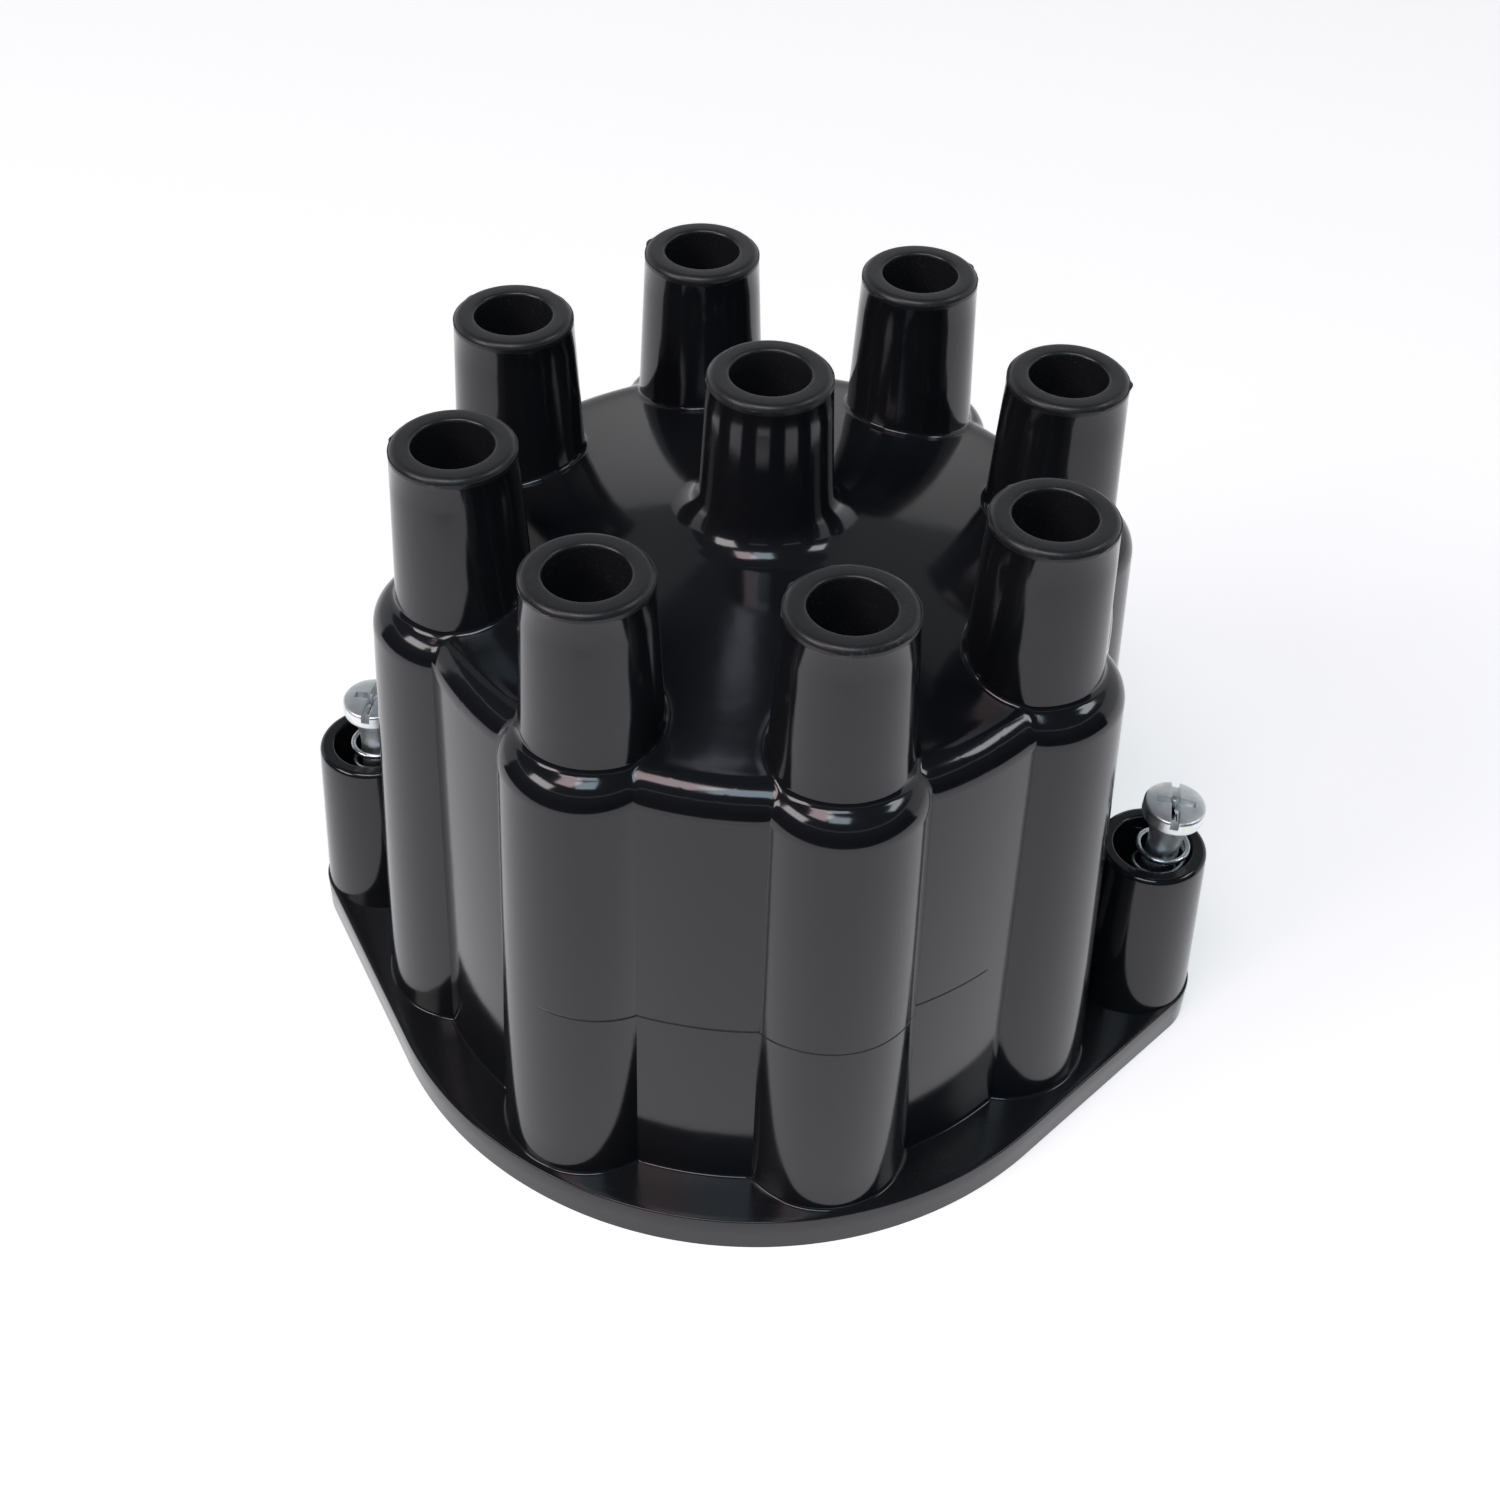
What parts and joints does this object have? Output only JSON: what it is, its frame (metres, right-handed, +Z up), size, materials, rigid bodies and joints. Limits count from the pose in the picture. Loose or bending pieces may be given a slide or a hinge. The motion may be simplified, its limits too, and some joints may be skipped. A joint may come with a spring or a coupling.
{
  "type": "distributor cap",
  "caption": "Round moulded distributor cap with a ring of lead towers, a taller centre tower and two spring-loaded latch screws.",
  "frame": {"origin": "centre of the flange's lower face", "axes": "+Z up through the centre tower, +X from the cap's axis to the right latch"},
  "size_m": [0.1304, 0.109, 0.1012],
  "materials": {
    "moulded_plastic": "polished black thermoset moulding",
    "bright_zinc": "bright zinc plate",
    "spring_wire": "zinc-plated drawn wire",
    "terminal_brass": "plain turned brass",
    "carbon": "pressed carbon"
  },
  "bodies": {
    "cap": {"cap_body": "moulded_plastic", "plug_terminal_1": "terminal_brass", "plug_terminal_2": "terminal_brass", "plug_terminal_3": "terminal_brass", "plug_terminal_4": "terminal_brass", "plug_terminal_5": "terminal_brass", "plug_terminal_6": "terminal_brass", "plug_terminal_7": "terminal_brass", "plug_terminal_8": "terminal_brass", "coil_terminal": "terminal_brass", "brush_spring": "spring_wire"},
    "brush": {"carbon_brush": "carbon"},
    "right_latch_carrier": {"right_latch_spring": "spring_wire"},
    "right_latch": {"right_latch_screw": "bright_zinc", "right_latch_hook": "bright_zinc"},
    "left_latch_carrier": {"left_latch_spring": "spring_wire"},
    "left_latch": {"left_latch_screw": "bright_zinc", "left_latch_hook": "bright_zinc"}
  },
  "joints": [
    {"name": "brush_push", "type": "slide", "parent": "cap", "child": "brush", "axis": [0, 0, 1], "range_m": [0, 0.0025], "stiffness_N_per_m": 150, "springref_m": -0.0005, "deforming": ["brush_spring"]},
    {"name": "right_latch_push", "type": "slide", "parent": "cap", "child": "right_latch_carrier", "axis": [-0.0558, 0, -0.9984], "range_m": [0, 0.005], "stiffness_N_per_m": 800, "springref_m": -0.0005, "deforming": ["right_latch_spring"]},
    {"name": "right_latch_turn", "type": "hinge", "parent": "right_latch_carrier", "child": "right_latch", "pos_m": [0.056, 0, 0.0075], "axis": [0.0558, 0, 0.9984], "range_deg": [0, 90]},
    {"name": "left_latch_push", "type": "slide", "parent": "cap", "child": "left_latch_carrier", "axis": [-0.0314, 0, -0.9995], "range_m": [0, 0.005], "stiffness_N_per_m": 800, "springref_m": -0.0005, "deforming": ["left_latch_spring"]},
    {"name": "left_latch_turn", "type": "hinge", "parent": "left_latch_carrier", "child": "left_latch", "pos_m": [-0.056, 0, 0.0075], "axis": [-0.0314, 0, -0.9995], "range_deg": [0, 90]}
  ]
}
